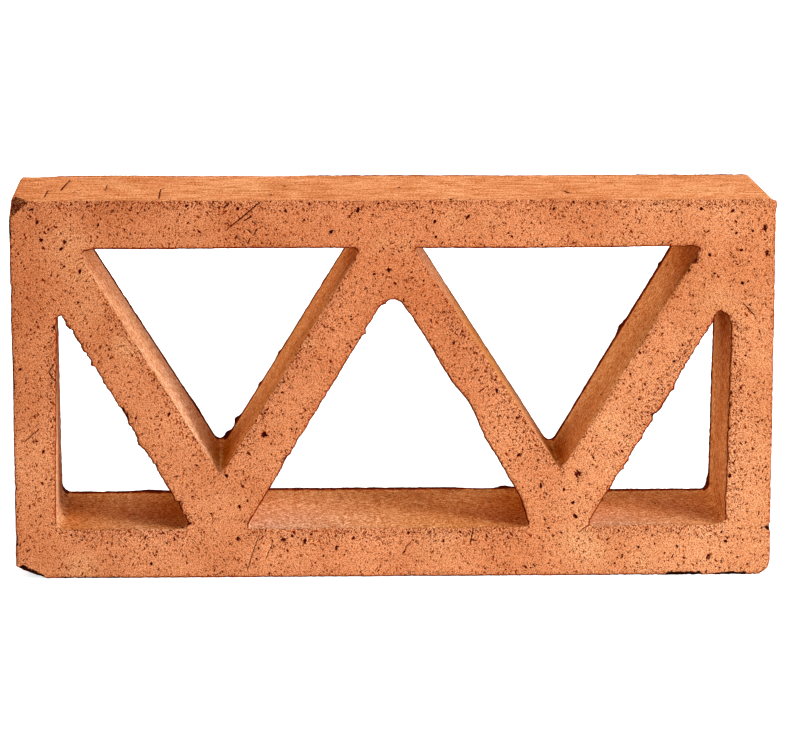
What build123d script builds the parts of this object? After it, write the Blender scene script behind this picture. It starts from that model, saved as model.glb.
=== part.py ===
"""Breeze block: a screen block of fired clay, open right through between a zigzag of four webs.

The block is one extruded column of clay, cut to length by wire, so it has one section all the way
from its front face to its back face. The openings are the shapes of the die's cores.

Millimetres. X runs along the block, Y through its depth with the front face at -Y, and +Z is up.
The origin is the centre of the bottom face. Heights in the section are measured from that face.
"""

import os
from math import atan2, sin, tan

from build123d import *

# Overall size
block_length = 400
block_height = 200
block_depth = 90

# Frame around the openings
top_rail = 25
bottom_rail = 26
end_post = 22.5

# Zigzag of webs, set by where its centreline turns
web_thickness = 23
wave_count = 2
end_node_inset = 20
top_node_drop = 22.5
bottom_node_rise = 28.5

# Corners of the outside
bed_corner_radius = 8
crown_corner_radius = 3

# Corners of the openings
v_apex_radius = 4
ceiling_corner_radius = 1.5
upright_peak_radius = 8
upright_foot_radius = 2
heel_radius = 5
toe_radius = 2
end_peak_radius = 4

# The centreline climbs from a bottom node to a top node in half a wave.
half_wave = (block_length - 2 * end_node_inset) / (2 * wave_count)
top_node = block_height - top_node_drop
web_angle = atan2(top_node - bottom_node_rise, half_wave)
slope = tan(web_angle)

# Half of a web, measured level along X and straight up along Z
half_web_level = web_thickness / 2 / sin(web_angle)
half_web_upright = half_web_level * slope

ceiling = block_height - top_rail
floor = bottom_rail

# V opening, hanging from the top rail, with x measured from its own point
v_point = bottom_node_rise + half_web_upright
v_half_width = (ceiling - v_point) / slope

with BuildSketch() as v_core:
    with BuildLine():
        FilletPolyline(
            (0, v_point),
            (v_half_width, ceiling),
            (-v_half_width, ceiling),
            radius=[v_apex_radius, ceiling_corner_radius, ceiling_corner_radius],
            close=True,
        )
    make_face()

# Upright opening, standing on the bottom rail between two V openings
upright_point = top_node - half_web_upright
upright_half_width = (upright_point - floor) / slope

with BuildSketch() as upright_core:
    with BuildLine():
        FilletPolyline(
            (0, upright_point),
            (-upright_half_width, floor),
            (upright_half_width, floor),
            radius=[upright_peak_radius, upright_foot_radius, upright_foot_radius],
            close=True,
        )
    make_face()

# End opening, half an upright one, cut off by the end post
post_face = block_length / 2 - end_post
end_node = block_length / 2 - end_node_inset
end_toe = end_node + half_web_level - (top_node - floor) / slope
end_peak = floor + (post_face - end_toe) * slope

with BuildSketch() as end_core:
    with BuildLine():
        FilletPolyline(
            (end_toe, floor),
            (post_face, floor),
            (post_face, end_peak),
            radius=[toe_radius, heel_radius, end_peak_radius],
            close=True,
        )
    make_face()

# Where the openings repeat along the block
wave = 2 * half_wave
v_centres = [-end_node + half_wave + wave * i for i in range(wave_count)]
upright_centres = [-end_node + wave * (i + 1) for i in range(wave_count - 1)]

with BuildPart() as block:
    with BuildSketch(Plane.XZ):
        with BuildLine():
            FilletPolyline(
                (-block_length / 2, 0),
                (block_length / 2, 0),
                (block_length / 2, block_height),
                (-block_length / 2, block_height),
                radius=[bed_corner_radius, bed_corner_radius, crown_corner_radius, crown_corner_radius],
                close=True,
            )
        make_face()
        for x in v_centres:
            with Locations((x, 0)):
                add(v_core.sketch, mode=Mode.SUBTRACT)
        for x in upright_centres:
            with Locations((x, 0)):
                add(upright_core.sketch, mode=Mode.SUBTRACT)
        add(end_core.sketch, mode=Mode.SUBTRACT)
        mirror(end_core.sketch, about=Plane.YZ, mode=Mode.SUBTRACT)
    extrude(amount=block_depth / 2, both=True)

block.part.label = "block"
os.makedirs("parts", exist_ok=True)
export_step(block.part, "parts/block.step")
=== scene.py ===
"""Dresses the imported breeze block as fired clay: wire-cut faces, ragged rims, pits, chips and stains.

Lengths are in millimetres until the mesh is written, in the frame of the block: X along it, the
front face at -Y, and +Z up from the bed that it stands on.
"""

import math

import bmesh
import bpy
import numpy as np
from mathutils import Euler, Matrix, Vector, noise
from mathutils.geometry import delaunay_2d_cdt
from mathutils.kdtree import KDTree


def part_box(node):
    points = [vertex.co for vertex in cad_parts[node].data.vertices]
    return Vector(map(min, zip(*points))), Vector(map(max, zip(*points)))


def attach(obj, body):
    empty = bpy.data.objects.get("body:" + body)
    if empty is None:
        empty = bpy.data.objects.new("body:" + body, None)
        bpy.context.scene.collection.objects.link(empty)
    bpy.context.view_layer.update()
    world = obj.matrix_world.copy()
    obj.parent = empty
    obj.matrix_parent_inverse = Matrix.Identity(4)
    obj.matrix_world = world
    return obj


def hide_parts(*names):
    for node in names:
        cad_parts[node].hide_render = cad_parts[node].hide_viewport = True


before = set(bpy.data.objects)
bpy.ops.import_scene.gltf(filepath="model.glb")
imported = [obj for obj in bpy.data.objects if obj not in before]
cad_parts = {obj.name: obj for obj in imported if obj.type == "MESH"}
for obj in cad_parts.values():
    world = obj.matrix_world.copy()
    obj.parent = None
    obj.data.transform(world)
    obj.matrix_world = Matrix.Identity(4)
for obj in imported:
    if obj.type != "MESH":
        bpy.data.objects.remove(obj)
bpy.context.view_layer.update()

MM = 0.001
LOW = np.array(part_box("block")[0]) / MM
HIGH = np.array(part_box("block")[1]) / MM
FRONT, BACK = LOW[1], HIGH[1]
DEPTH = BACK - FRONT
CROWN = HIGH[2]

# Camera
PHOTO_WIDTH, PHOTO_HEIGHT = 792, 754
SENSOR_WIDTH = 36.0
LENS = 206.83
CAMERA_PLACE = (-96.4, -2368.9, 564.5)
CAMERA_TURN = (78.871, -0.225, -2.384)


def add_camera():
    """The camera that took the photo, as far as the block's own edges tell."""
    data = bpy.data.cameras.new("camera")
    data.sensor_width = SENSOR_WIDTH
    data.lens = LENS
    data.clip_end = 20.0
    camera = bpy.data.objects.new("camera", data)
    camera.location = Vector(CAMERA_PLACE) * MM
    camera.rotation_euler = Euler([math.radians(a) for a in CAMERA_TURN])
    bpy.context.scene.collection.objects.link(camera)
    bpy.context.scene.camera = camera
    bpy.context.view_layer.update()
    return camera


CAMERA = add_camera()


def photo_point(pixel, axis=1, level=FRONT):
    """Where a photo pixel meets the plane at that level of an axis, by default the front face."""
    focal = LENS / SENSOR_WIDTH * PHOTO_WIDTH
    ray = Vector(((pixel[0] - PHOTO_WIDTH / 2) / focal, (PHOTO_HEIGHT / 2 - pixel[1]) / focal, -1.0))
    ray = CAMERA.matrix_world.to_3x3() @ ray
    start = Vector(CAMERA_PLACE)
    return np.array(start + ray * ((level - start[axis]) / ray[axis]))


def photo_path(pixels, level=FRONT):
    """Pixels of the photo as (x, z) on the front face, or on the plane at another depth."""
    return np.array([photo_point(p, 1, level)[[0, 2]] for p in pixels])


def fade(far, reach, power=2):
    """1 at no distance, falling to about a third at the reach."""
    return np.exp(-(far / reach) ** power)


# How far each outline stands off its true place, as the cores sat in the die and the clay dried: at
# the left and right of its foot and of its head along the block, then up at its foot and its head.
# The front face comes first, then the back. Where the way out of the clay is as level as SIDE_FACING, an
# outline leans as that side does, and between the sides it leans by its place.
SIDE_FACING = 0.8
LEANS = {
    "outline": ((3.5, -0.2, 1.7, -0.5, 0.0, 0.0), (3.5, -2.5, 5.5, -3.7, 0.0, 0.0)),
    "left_end": ((2.1, -2.0, 3.6, 0.2, 0.0, 0.0), (3.0, 0.0, 1.1, 0.0, 0.9, 0.0)),
    "left_v": ((2.1, -0.9, 0.6, -1.1, 1.0, 0.0), (1.3, 1.9, -0.6, 1.4, 2.0, 0.0)),
    "centre": ((1.4, -0.7, 0.3, 0.3, 0.0, 0.0), (1.4, -0.7, 0.3, 0.3, 2.3, 0.0)),
    "right_v": ((0.4, -2.8, -4.2, -4.0, 2.5, 0.0), (-0.2, -1.0, -4.3, -3.4, 0.5, 0.0)),
    "right_end": ((0.9, -2.1, -0.8, -0.4, 1.0, 0.0), (0.0, -1.2, 0.0, 0.1, 0.8, 0.0)),
}

# Corners drawn out of line, on the front and on the back: photo pixel, reach, and the way along X and Z
PULLS = (
    [
        ((536, 523), 8.0, (-4.0, 0.4)), ((191, 525), 4.0, (-1.8, 1.0)), ((76, 250), 5.5, (3.3, -1.3)),
        ((360, 250), 3.0, (-0.8, -0.5)), ((721, 311), 3.5, (-0.6, 0.8)),
        ((734, 313), 4.5, (-1.0, -2.0)), ((62, 315), 3.0, (-1.2, -1.1)), ((466, 407), 13.0, (1.9, 1.2)),
        ((725, 521), 3.5, (1.0, -1.0)),
    ],
    [
        ((26, 178), 8.0, (-1.5, 0.0)), ((537, 489), 5.0, (-1.0, 0.6)),
    ],
)

# Rims: how rough along paths of photo pixels, and single burrs (+) and bites (-) as pixel, reach, height
RIM_ROUGH = 0.2
RAGGED = [
    ([(60, 318), (92, 365), (130, 420), (188, 522)], 0.8),
    ([(726, 320), (690, 350), (640, 430), (600, 500)], 0.55),
    ([(400, 299), (440, 357), (490, 440), (520, 500)], 0.45),
    ([(380, 303), (320, 402), (270, 486)], 0.35), ([(731, 312), (731, 400), (726, 523)], 0.5),
    ([(452, 312), (500, 380), (551, 460)], 0.4), ([(700, 247), (650, 333), (571, 460)], 0.4),
    ([(20, 200), (400, 199), (770, 198)], 0.4), ([(600, 575), (770, 575)], 0.5),
]
FRONT_BURRS = [
    ((67, 326), 2.4, 1.6), ((79, 340), 1.2, 1.0), ((90, 365), 1.6, 1.4), ((184, 517), 1.6, -0.8),
    ((180, 508), 1.5, -0.6), ((144, 441), 1.2, 0.9), ((384, 302), 1.8, 1.2), ((365, 334), 1.0, 1.4),
    ((285, 459), 2.6, -1.2), ((296, 439), 2.0, -0.8), ((669, 386), 1.0, 1.0), ((624, 457), 1.0, 1.0),
    ((622, 467), 1.0, 1.0), ((428, 345), 9.0, -0.4), ((404, 308), 3.0, 0.9), ((721, 520), 3.0, 1.4),
    ((727, 497), 1.5, 0.8), ((690, 271), 1.2, -0.9), ((663, 311), 2.4, 0.7), ((725, 313), 2.0, 0.7),
    ((766, 527), 1.6, -1.2), ((13, 289), 2.0, -0.6), ((16, 488), 1.4, -0.8), ((17, 539), 2.6, -0.7),
    ((14, 375), 14.0, -0.6), ((224, 470), 1.6, 0.6), ((562, 467), 3.0, 0.8), ((733, 345), 1.6, -0.7),
    ((731, 405), 1.6, -0.8), ((520, 506), 4.0, 0.9), ((666, 395), 16.0, 0.6), ((125, 414), 4.0, -1.2),
    ((137, 446), 3.0, 1.3), ((80, 350), 3.0, 0.7), ((150, 249), 26.0, 0.35), ((510, 248), 36.0, 0.4),
    ((660, 246), 14.0, -0.5), ((776, 203), 3.0, 0.8),
]
BACK_BURRS = [
    ((239, 419), 2.2, 1.7), ((227, 434), 2.6, 2.0), ((192, 409), 6.0, 0.5), ((503, 487), 3.0, 1.2),
    ((657, 263), 1.0, 0.7), ((616, 326), 3.0, 1.4), ((625, 322), 1.0, 0.5), ((280, 351), 1.2, 0.7),
    ((200, 177), 20.0, -0.3), ((275, 177), 14.0, -0.7), ((530, 175), 40.0, -0.3),
    ((34, 178), 10.0, -1.0), ((704, 480), 3.0, 1.2), ((263, 385), 1.2, 0.7), ((152, 488), 8.0, 0.8),
    ((480, 488), 12.0, -0.9),
]

# Broken corners, each as three points that the break's flat goes through
BREAKS = [
    ((-187.5, -45.0, 200.0), (-197.6, -45.0, 191.5), (-196.2, -24.0, 200.0)),
    ((-180.0, -45.0, 0.0), (-196.0, -45.0, 6.5), (-190.5, -30.0, 0.0)),
]

# The front face, by photo pixels: crumbly bands with their reach, large pits, and scratches
CRUMBLY = [
    ([(16, 205), (300, 204), (770, 203)], 3.2), ([(90, 205), (250, 204)], 4.6),
    ([(112, 312), (150, 368), (206, 452)], 6.0), ([(342, 292), (292, 370), (242, 452)], 3.5),
    ([(455, 318), (500, 388), (546, 458)], 7.0), ([(60, 534), (190, 535)], 4.6),
    ([(250, 534), (520, 534)], 4.8), ([(590, 531), (722, 531)], 4.6), ([(45, 362), (52, 440)], 4.5),
    ([(738, 318), (738, 510)], 4.0), ([(686, 350), (622, 452)], 3.5),
]
LARGE_PITS = {
    1.5: [(265, 436)],
    1.1: [
        (96, 225), (97, 222), (79, 268), (147, 564), (177, 411), (443, 237), (332, 232), (617, 526),
        (627, 529), (745, 283), (687, 277), (391, 270), (357, 210), (303, 541), (281, 540), (36, 239),
        (58, 240), (228, 478), (228, 474), (574, 505), (582, 478), (733, 477), (728, 542), (702, 209),
        (48, 199), (78, 272), (241, 215), (60, 345), (575, 518),
    ],
    0.8: [
        (100, 535), (740, 233), (745, 250), (720, 274), (352, 538), (388, 553), (443, 541), (408, 533),
        (38, 452), (36, 516), (60, 532), (84, 541), (46, 274), (58, 265), (734, 211), (755, 231),
        (766, 228), (768, 253), (748, 564), (709, 557), (194, 497), (238, 507), (236, 539), (628, 214),
        (515, 233), (554, 209), (469, 217), (284, 211), (241, 206), (184, 206), (45, 384), (137, 419),
        (166, 416), (124, 463), (146, 538), (296, 544), (538, 464), (541, 488), (566, 493), (607, 541),
        (653, 537), (717, 255), (733, 352), (740, 372), (737, 453), (762, 528), (334, 548), (441, 543),
        (612, 527), (506, 398), (478, 372), (499, 394), (468, 337), (430, 281), (70, 259), (58, 264),
        (64, 238), (44, 229), (33, 222), (246, 447), (250, 455), (275, 461), (290, 536),
    ],
}
SCRATCHES = [
    ([(227, 229), (240, 218), (251, 208), (259, 201)], 1.0),
    ([(222, 207), (227, 202), (232, 199)], 1.2), ([(243, 221), (249, 217)], 1.1),
    ([(251, 221), (255, 225)], 1.0), ([(257, 229), (254, 235)], 1.0), ([(247, 229), (251, 233)], 0.9),
    ([(236, 236), (241, 240)], 0.9), ([(251, 239), (248, 244)], 1.0), ([(206, 213), (212, 222)], 0.6),
    ([(213, 208), (206, 203)], 0.6), ([(241, 208), (235, 201)], 0.6),
    ([(257, 535), (250, 553), (243, 570)], 0.7), ([(270, 545), (263, 558)], 0.7),
    ([(474, 528), (470, 545)], 0.9), ([(20, 441), (33, 430)], 0.7), ([(28, 440), (26, 433)], 0.7),
    ([(42, 372), (52, 385)], 0.9), ([(48, 364), (41, 374)], 0.8), ([(477, 395), (485, 390)], 0.8),
    ([(756, 315), (747, 303)], 0.9), ([(731, 316), (738, 323)], 0.9), ([(586, 527), (578, 534)], 0.8),
    ([(404, 548), (411, 541)], 0.7),
]

# The crown, by photo pixels: cracks and gouges
CRACKS = [
    ([(62, 180), (59, 184), (55, 190)], 1.1), ([(42, 190), (40, 197)], 0.9),
    ([(101, 185), (100, 190)], 0.7), ([(156, 189), (156, 198)], 0.9), ([(74, 184), (98, 185)], 0.7),
    ([(556, 190), (564, 190), (569, 192)], 1.8), ([(546, 193), (554, 194)], 1.1),
    ([(330, 184), (344, 184)], 0.7), ([(516, 177), (558, 177)], 0.9), ([(300, 197), (318, 197)], 1.0),
    ([(340, 181), (352, 182)], 0.6), ([(503, 196), (506, 196)], 1.4),
]

# Stretches of wall, along the rim of the front, that are torn like the cut face, with their reach
TORN_WALLS = [
    ([(418, 250), (452, 312)], 9.0), ([(76, 250), (82, 258)], 5.0), ([(700, 250), (690, 268)], 2.5),
]

# The clay's colour, by photo pixel with reach and strength: paler spots (+) and redder ones (-), first
# on the front face and then on the crown
TINTS = [
    ((120, 345), 6.0, 0.8), ((82, 568), 9.0, 0.8), ((72, 243), 11.0, 0.7), ((308, 343), 3.5, 0.9),
    ((382, 243), 4.0, 0.7), ((452, 222), 8.0, 0.6), ((608, 425), 7.0, 0.6), ((575, 540), 9.0, 0.7),
    ((131, 352), 5.0, 0.7), ((594, 550), 8.0, 0.6), ((640, 562), 6.0, 0.5), ((490, 220), 6.0, 0.5),
    ((85, 278), 9.0, 0.6), ((720, 300), 12.0, 0.5), ((405, 245), 5.0, 0.6), ((660, 200), 6.0, 0.6),
    ((440, 545), 14.0, 0.5), ((90, 310), 8.0, 0.5), ((100, 212), 10.0, -0.8), ((760, 208), 10.0, -0.7),
    ((125, 205), 8.0, -0.6), ((230, 215), 12.0, -0.7), ((735, 270), 12.0, -0.5),
    ((755, 400), 10.0, -0.5), ((60, 350), 8.0, -0.6), ((30, 300), 9.0, -0.4), ((160, 380), 9.0, -0.6),
    ((460, 350), 10.0, -0.5), ((405, 300), 10.0, -0.5), ((740, 370), 8.0, -0.5),
    ((240, 545), 10.0, -0.4), ((100, 535), 8.0, -0.5),
]
STAINS = [
    ((60, 184), 7.0, -0.8), ((85, 180), 7.0, -0.6), ((42, 193), 5.0, -0.8), ((100, 190), 6.0, -0.5),
    ((157, 193), 7.0, -0.5), ((560, 190), 10.0, -0.7), ((318, 197), 6.0, -0.4), ((700, 190), 14.0, 0.5),
    ((240, 188), 22.0, 0.5), ((120, 184), 12.0, 0.3), ((500, 182), 10.0, -0.2),
]

# The walls' painted light and shade, with reach and strength: painted light by place, on the floors and
# walls that the lamps light, then painted shade by photo pixel on the block's middle plane, in the
# openings' corners and recesses, and the paler seam along the bottom of each V, which the shade leaves
# out. The painted shade is drawn out through the depth, so a distance along Y counts for less. Painted
# light lies on what faces right, too.
LIT_SPOTS = [
    ((-72, -45, 26), 58.0, 1.0), ((108, -45, 26), 36.0, 1.0), ((178, -30, 90), 60.0, 0.5),
    ((55, 0, 118), 40.0, 0.4),
]
SHADE_SPOTS = [
    ((224, 455), 13.0, 1.0), ((551, 452), 13.0, 1.0), ((180, 508), 19.0, 0.85), ((517, 508), 14.0, 0.8),
    ((80, 508), 18.0, 0.3), ((378, 503), 3.5, 0.4), ((366, 501), 2.5, 0.35), ((712, 508), 15.0, 0.4),
    ((721, 312), 8.0, 0.6), ((350, 250), 8.0, 0.5), ((686, 250), 14.0, 0.6), ((462, 318), 26.0, 0.6),
    ((500, 378), 26.0, 0.65), ((88, 254), 7.0, 0.5), ((192, 430), 12.0, 0.3), ((285, 350), 30.0, 0.2),
]
SEAMS = [((220, 453), 13.0, 0.6), ((549, 450), 13.0, 0.4)]
SHADE_DRAW = (1.0, 0.22, 1.0)
SEAM_FACING = 0.97
LIT_FACING_RIGHT = 0.68

# Painted shade: dark lines by the edges of the front face and a shadow along its foot, as paths of photo
# pixels with their reach, and their depth
SHADE_LINES = [
    ([(9, 214), (9, 240)], 0.8), ([(9, 268), (10, 292)], 0.8), ([(13, 470), (15, 505)], 0.6),
    ([(23, 569), (31, 574), (42, 578)], 2.2), ([(15, 536), (16, 545)], 0.8),
    ([(766, 528), (768, 528)], 1.0), ([(668, 573.4), (700, 573.4)], 1.3),
    ([(716, 573.6), (745, 573)], 0.8), ([(60, 578.5), (130, 578.5)], 0.7),
    ([(330, 577.5), (400, 577)], 0.6),
]
SHADE_LINE_DEPTH = 6.0

# Spacing of the mesh's points: finest close to a broken corner, and in rows beside the rims
RIM_STEP = 1.05
FRONT_STEP = 1.7
BACK_STEP = 2.2
WALL_STEP = 5.0
CROWN_STEP = 2.8
FINE_STEP = 1.3
FINE_REACH = 14.0
RIM_ROWS = (0.7, 1.8)

# How close together points count as one, in the CAD's mesh, on a line and for the triangulation, and the
# form of triangulation that keeps within the given edges
TOUCH, IN_LINE, CLOSE = 0.01, 1e-6, 1e-5
WITHIN_EDGES = 1

# How loose the lattices are, and how close their points come to others, as shares of their spacing
JITTER = 0.18
FACE_GAP, WALL_GAP, RIM_GAP = 0.62, 0.6, 0.45

# How close the rows along the rims and the marks come to what is there
ROW_GAP = 0.45
ROW_ROOM = 0.9
MARK_GAP = 0.3


def section_loops(node):
    """The outlines of the node's front face, each as an array of (x, z), with the clay on the left."""
    bm = bmesh.new()
    bm.from_mesh(node.data)
    bmesh.ops.remove_doubles(bm, verts=bm.verts, dist=TOUCH * MM)
    front = set(f for f in bm.faces if all(abs(v.co.y / MM - FRONT) < TOUCH for v in f.verts))
    onward = {}
    for face in front:
        for corner in face.loops:
            if not all(other in front for other in corner.edge.link_faces):
                onward[corner.vert.index] = corner.link_loop_next.vert.index
    bm.verts.ensure_lookup_table()
    loops = []
    while onward:
        at = min(onward)
        path = []
        while at in onward:
            path.append(at)
            at = onward.pop(at)
        loops.append(np.array([(bm.verts[i].co.x / MM, bm.verts[i].co.z / MM) for i in path]))
    bm.free()
    return loops


def tree_of(points):
    """A search tree over 2-D points."""
    tree = KDTree(len(points))
    for i, p in enumerate(points):
        tree.insert((p[0], p[1], 0.0), i)
    tree.balance()
    return tree


def nearest(tree, points):
    """Index of, and distance to, the tree's nearest point, for each 2-D point."""
    found = [tree.find((p[0], p[1], 0.0)) for p in points]
    return np.array([f[1] for f in found], int), np.array([f[2] for f in found])


class Rim:
    """One outline, resampled: its points, the way out of the clay at each, and the distance along it."""

    def __init__(self, corners):
        points, bends = [], []
        for a, b in zip(corners, np.roll(corners, -1, axis=0)):
            parts = max(1, round(np.linalg.norm(b - a) / RIM_STEP))
            bends.append(len(points))
            points += [a + (b - a) * i / parts for i in range(parts)]
        self.points = np.array(points)
        self.bends = bends
        self.low, self.high = self.points.min(axis=0), self.points.max(axis=0)
        ahead = np.roll(self.points, -1, axis=0) - self.points
        length = np.linalg.norm(ahead, axis=1)
        self.along = np.concatenate([[0.0], np.cumsum(length)[:-1]])
        self.length = length.sum()
        way = ahead / length[:, None]
        way = way + np.roll(way, 1, axis=0)
        way /= np.linalg.norm(way, axis=1)[:, None]
        self.out = np.stack([way[:, 1], -way[:, 0]], axis=1)
        self.tree = tree_of(self.points)

    def at(self, along, values):
        """Values given at the rim's points, read at distances along it."""
        table = np.append(self.along, self.length)
        closed = np.concatenate([values, values[:1]])
        along = np.mod(along, self.length)
        if closed.ndim == 1:
            return np.interp(along, table, closed)
        return np.stack([np.interp(along, table, column) for column in closed.T], axis=1)

    def lean(self, foot_left, foot_right, head_left, head_right, foot_rise, head_rise):
        """How far each point stands off its true place, from how far the outline's corners do."""
        level, up = ((self.points - self.low) / (self.high - self.low)).T
        facing = 1 if self.points[np.argmin(self.points[:, 0])][0] == LOW[0] else -1
        side = np.clip(self.out[:, 0] * facing / SIDE_FACING, -1, 1)
        across = np.where(side > 0, side, 0.0) + (1 - np.abs(side)) * level
        foot = foot_left + (foot_right - foot_left) * across
        head = head_left + (head_right - head_left) * across
        return np.stack([foot + (head - foot) * up, foot_rise + (head_rise - foot_rise) * up], axis=1)


def name_rims():
    """The block's outlines by name: the outside, then the openings from left to right."""
    rims = [Rim(loop) for loop in section_loops(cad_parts["block"])]
    rims.sort(key=lambda r: r.points[:, 0].mean())
    outline = max(rims, key=lambda r: r.length)
    return dict(zip(LEANS, [outline] + [r for r in rims if r is not outline]))


RIMS = name_rims()
RIM_STARTS = np.concatenate([[0], np.cumsum([len(r.points) for r in RIMS.values()])])
RIM_POINTS = np.concatenate([r.points for r in RIMS.values()])
RIM_OUT = np.concatenate([r.out for r in RIMS.values()])
RIM_TREE = tree_of(RIM_POINTS)
RIM_TOTAL = len(RIM_POINTS)


def stand_off(side):
    """How far each outline's points stand off their true place, on the front (0) or the back (1)."""
    found = []
    for name, rim in RIMS.items():
        shift = rim.lean(*LEANS[name][side])
        for pixel, reach, way in PULLS[side]:
            far = np.linalg.norm(rim.points + shift - photo_path([pixel], (FRONT, BACK)[side]), axis=1)
            shift = shift + fade(far, reach)[:, None] * way
        found.append(shift)
    return found


RIM_SHIFTS = [stand_off(0), stand_off(1)]


def triangulate(points, edges):
    """Triangles over 2-D points that keep the given edges, as rows of three indices."""
    found = delaunay_2d_cdt([Vector(p) for p in points], edges, [], WITHIN_EDGES, CLOSE)
    first = [ids[0] for ids in found[3]]
    return np.array([[first[i] for i in face] for face in found[2]])


def inside(points):
    """Whether each point lies in the clay, by counting the outlines that a level line crosses."""
    odd = np.zeros(len(points), bool)
    for rim in RIMS.values():
        loop = rim.points[rim.bends]
        for a, b in zip(loop, np.roll(loop, -1, axis=0)):
            if a[1] == b[1]:
                continue
            spans = (points[:, 1] >= min(a[1], b[1])) & (points[:, 1] < max(a[1], b[1]))
            cross = a[0] + (points[:, 1] - a[1]) / (b[1] - a[1]) * (b[0] - a[0])
            odd ^= spans & (points[:, 0] < cross)
    return odd


def room_on_face(points):
    """How far each point is from the nearest rim, or less than nothing where it isn't on the clay."""
    _, far = nearest(RIM_TREE, points)
    return np.where(inside(points), far, -far)


def lattice(low, high, step, rng):
    """A loose triangular lattice of points over a rectangle."""
    points = []
    for i, z in enumerate(np.arange(low[1], high[1], step * math.sqrt(3) / 2)):
        xs = np.arange(low[0] + (i % 2) * step / 2, high[0], step)
        points.append(np.stack([xs, np.full(len(xs), z)], axis=1))
    points = np.concatenate(points)
    return points + rng.uniform(-JITTER, JITTER, points.shape) * step


def from_path(points, path):
    """How far each point is from a path."""
    best = np.full(len(points), np.inf)
    for a, b in zip(path, path[1:]):
        share = np.clip((points - a) @ (b - a) / ((b - a) @ (b - a)), 0, 1)
        best = np.minimum(best, np.linalg.norm(points - a - share[:, None] * (b - a), axis=1))
    return best


def in_bands(points, bands, behind=0.0):
    """How much each point is in bands along paths of photo pixels, when it lies so far behind them."""
    amount = np.zeros(len(points))
    for pixels, reach in bands:
        far = np.hypot(from_path(points, photo_path(pixels)), behind)
        amount = np.maximum(amount, fade(far, reach))
    return amount


def upright(points, level):
    """Points of (x, z) as 3-D ones at that level of Y."""
    return np.stack([points[:, 0], np.full(len(points), level), points[:, 1]], axis=1)


def wobble(points, size, seed):
    """Smooth noise of about -1 to 1 at 3-D points, with hills about as wide as size."""
    return np.array([noise.noise(Vector(p) / size + Vector((seed, -seed, 2 * seed))) for p in points])


def layered(points, layers):
    """Smooth noise in layers, each given as height, size and seed."""
    return sum(height * wobble(points, size, seed) for height, size, seed in layers)


class Marks:
    """Pits and grooves on one flat stretch: points with a depth and a darkness each."""

    CELL = 5.0

    # Rings of points around a pit's middle: share of its radius, depth and darkness, and number of points
    SMALL = ((1.0, 0.0, 0.12, 6),)
    LARGE = ((0.6, 0.85, 1.0, 6), (1.05, 0.0, 0.12, 7))
    LARGE_FROM = 0.75
    RAGGED = (0.75, 1.2)

    # Pits: how their sizes spread, how far they are drawn out, on average and at most, and which way, how
    # deep they are for their radius, and how dark, a darkness that is partly painted shade in the hollow
    # and partly the clay's own dark grains
    SPREAD = (1.2, 3.0)
    STRETCH, MOST_STRETCH = 0.6, 1.6
    TURN, TURN_SPREAD = math.radians(68), 0.5
    DEPTHS = (0.8, 1.5)
    SHADES = (0.6, 1.0)

    # Room that a pit keeps to a rim, to another mark, and around itself
    TO_RIM, TO_MARK, AROUND = 0.55, 0.4, 0.25

    # Grooves: shortest step, how far they sway, and the room they take as a share of their width
    GROOVE_STEP, GROOVE_SWAY, GROOVE_ROOM = 0.9, 0.22, 0.3

    def __init__(self):
        self.points, self.depth, self.dark = [], [], []
        self.taken = {}

    def cell(self, point):
        return int(point[0] // self.CELL), int(point[1] // self.CELL)

    def free(self, point, radius):
        """Whether a pit of that radius would stay clear of the marks already there."""
        i, k = self.cell(point)
        around = [self.taken.get((a, b), ()) for a in (i - 1, i, i + 1) for b in (k - 1, k, k + 1)]
        return all(math.dist(point, spot) > radius + r for spots in around for spot, r in spots)

    def claim(self, point, radius):
        self.taken.setdefault(self.cell(point), []).append((tuple(point), radius))

    def put(self, point, depth, dark):
        self.points.append(point)
        self.depth.append(depth)
        self.dark.append(dark)

    def pit(self, point, radius, depth, stretch, turn, dark, rng):
        """A hollow, stretched along the direction of turn."""
        c, s = math.cos(turn), math.sin(turn)
        self.claim(point, radius * stretch + self.AROUND)
        self.put(point, depth, dark)
        for share, fall, shade, count in (self.LARGE if radius > self.LARGE_FROM else self.SMALL):
            first = rng.uniform(0, 1)
            for k in range(count):
                a = 2 * math.pi * (k + first) / count
                reach = radius * share * rng.uniform(*self.RAGGED)
                u, v = math.cos(a) * reach * stretch, math.sin(a) * reach
                self.put((point[0] + c * u - s * v, point[1] + s * u + c * v), depth * fall, dark * shade)

    def groove(self, path, width, depth, dark, rng):
        """A scratch or crack along a path of points, deepest on the path."""
        for a, b in zip(path, path[1:]):
            way = (b - a) / np.linalg.norm(b - a)
            side = np.array([-way[1], way[0]]) * width / 2
            parts = max(1, round(np.linalg.norm(b - a) / max(width, self.GROOVE_STEP)))
            sway = rng.normal(0.0, self.GROOVE_SWAY, parts)
            for p in (a + (b - a) * (i + 0.5) / parts + side / width * sway[i] for i in range(parts)):
                if self.free(p, width * self.GROOVE_ROOM):
                    self.put(tuple(p), depth, dark)
                    self.put(tuple(p + side), 0.0, 0.0)
                    self.put(tuple(p - side), 0.0, 0.0)
                    self.claim(p, width * self.GROOVE_ROOM)

    def pepper(self, points, sizes, room, rng):
        """A pit at each of the points that has the room, mostly of the smaller sizes."""
        for point, space in zip(points, room):
            radius = sizes[0] + (sizes[1] - sizes[0]) * rng.beta(*self.SPREAD)
            stretch = 1.0 + min(rng.exponential(self.STRETCH), self.MOST_STRETCH)
            turn = rng.normal(self.TURN, self.TURN_SPREAD)
            depth = radius * rng.uniform(*self.DEPTHS)
            dark = rng.uniform(*self.SHADES)
            reach = radius * stretch
            if space > reach + self.TO_RIM and self.free(point, reach + self.TO_MARK):
                self.pit(tuple(point), radius, depth, stretch, turn, dark, rng)

    def arrays(self):
        return np.array(self.points, float).reshape(-1, 2), np.array(self.depth), np.array(self.dark)


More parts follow.
